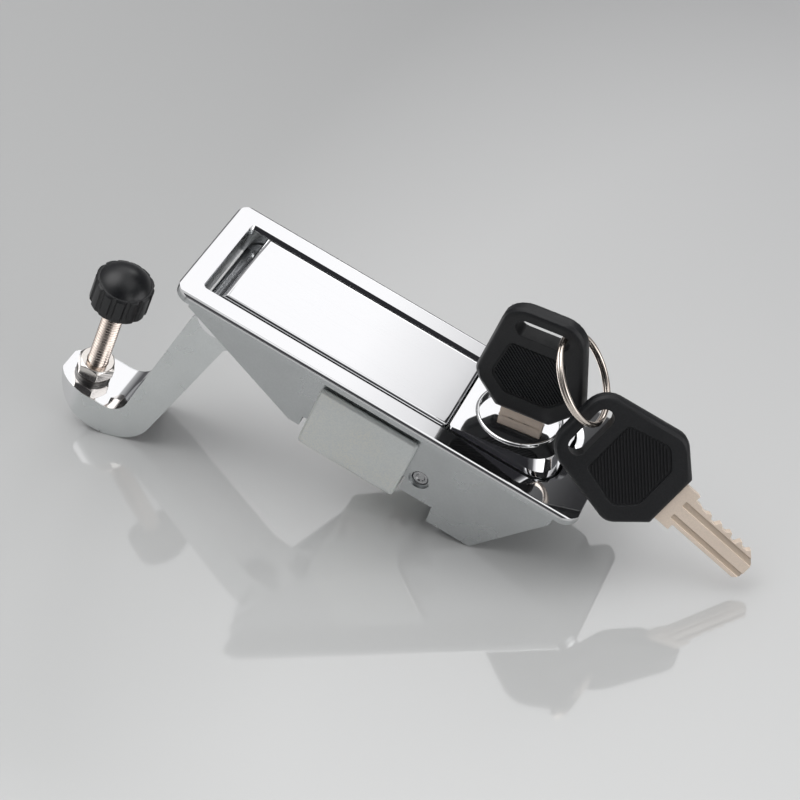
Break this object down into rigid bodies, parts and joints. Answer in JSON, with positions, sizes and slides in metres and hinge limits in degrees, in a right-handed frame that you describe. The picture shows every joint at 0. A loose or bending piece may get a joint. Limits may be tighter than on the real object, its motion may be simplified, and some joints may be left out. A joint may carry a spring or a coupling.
{
  "type": "flat cabinet lock",
  "caption": "Flush panel lock: lift handle with a hooked arm and adjustable bumper, sloped push button with a key cylinder, clamping bracket and keys on a split ring.",
  "frame": {"origin": "middle of the panel cut-out, in the plane of the flange's underside that seats on the panel", "axes": "+X along the flange towards the key end, +Z out of the panel towards the user, +Y to the rear side"},
  "size_m": [0.1749, 0.038, 0.1095],
  "materials": {
    "chrome_housing": "mirror chrome on the flange, satin as-cast on the sides",
    "chrome_plate": "mirror chrome plate",
    "chrome_arm": "bright plate over a cast arm",
    "zinc_sheet": "bright zinc plate, faintly iridescent",
    "steel_hardware": "machined steel",
    "spring_steel": "drawn wire",
    "nickel_steel": "nickel plate",
    "nickel_brass": "nickel-silver, fine milling marks",
    "wafer_brass": "stamped brass",
    "black_plastic": "semi-matt moulded plastic"
  },
  "bodies": {
    "housing": {"bezel_housing": "chrome_housing", "mounting_bracket": "zinc_sheet", "bracket_screws": "steel_hardware", "handle_pivot_pin": "steel_hardware", "catch_pin": "steel_hardware", "button_springs": "spring_steel"},
    "handle": {"handle": "chrome_plate", "hook_arm": "chrome_arm", "arm_cross_pin": "steel_hardware", "lock_nut": "nickel_steel", "lock_washer": "spring_steel", "handle_spring": "spring_steel"},
    "adjuster": {"adjusting_bolt": "nickel_steel", "bumper_cap": "black_plastic"},
    "button": {"push_button": "chrome_plate", "cylinder_barrel": "chrome_plate", "barrel_clip": "spring_steel"},
    "plug": {"plug": "chrome_plate", "wafers": "wafer_brass", "wafer_springs": "spring_steel", "lock_cam": "steel_hardware"},
    "catch": {"catch": "steel_hardware", "catch_spring": "spring_steel"},
    "key_1": {"key_1_blade": "nickel_brass", "key_1_head": "black_plastic"},
    "ring": {"key_ring": "nickel_steel"},
    "key_2": {"key_2_blade": "nickel_brass", "key_2_head": "black_plastic"}
  },
  "joints": [
    {"name": "handle_lift", "type": "hinge", "parent": "housing", "child": "handle", "pos_m": [-0.0433, 0, -0.0065], "axis": [0, -1, 0], "range_deg": [0, 40]},
    {"name": "bolt_adjust", "type": "slide", "parent": "handle", "child": "adjuster", "axis": [0, 0, 1], "range_m": [-0.003, 0.006]},
    {"name": "button_press", "type": "slide", "parent": "housing", "child": "button", "axis": [0, 0, -1], "range_m": [0, 0.0022], "stiffness_N_per_m": 800, "springref_m": -0.002, "deforming": ["button_springs"]},
    {"name": "catch_turn", "type": "hinge", "parent": "housing", "child": "catch", "pos_m": [0.01775, 0, -0.0167], "axis": [0, 1, 0], "range_deg": [0, 22]},
    {"name": "plug_turn", "type": "hinge", "parent": "button", "child": "plug", "pos_m": [0.03075, 0, 0.00559], "axis": [-0.1994, 0, 0.9799], "range_deg": [-90, 0]},
    {"name": "key_1_draw", "type": "slide", "parent": "plug", "child": "key_1", "axis": [-0.1994, 0, 0.9799], "range_m": [0, 0.03]},
    {"name": "ring_swing", "type": "hinge", "parent": "key_1", "child": "ring", "pos_m": [0.0307, 0, 0.0347], "axis": [0, -1, 0], "range_deg": [0, 30]},
    {"name": "key_2_swing", "type": "hinge", "parent": "ring", "child": "key_2", "pos_m": [0.047, -0.0062, 0.022], "axis": [-0.2679, -0.9237, 0.2739], "range_deg": [0, 25]}
  ],
  "couplings": [
    {"joint": "catch_turn", "follows": "button_press", "rad_per_m": 167}
  ]
}
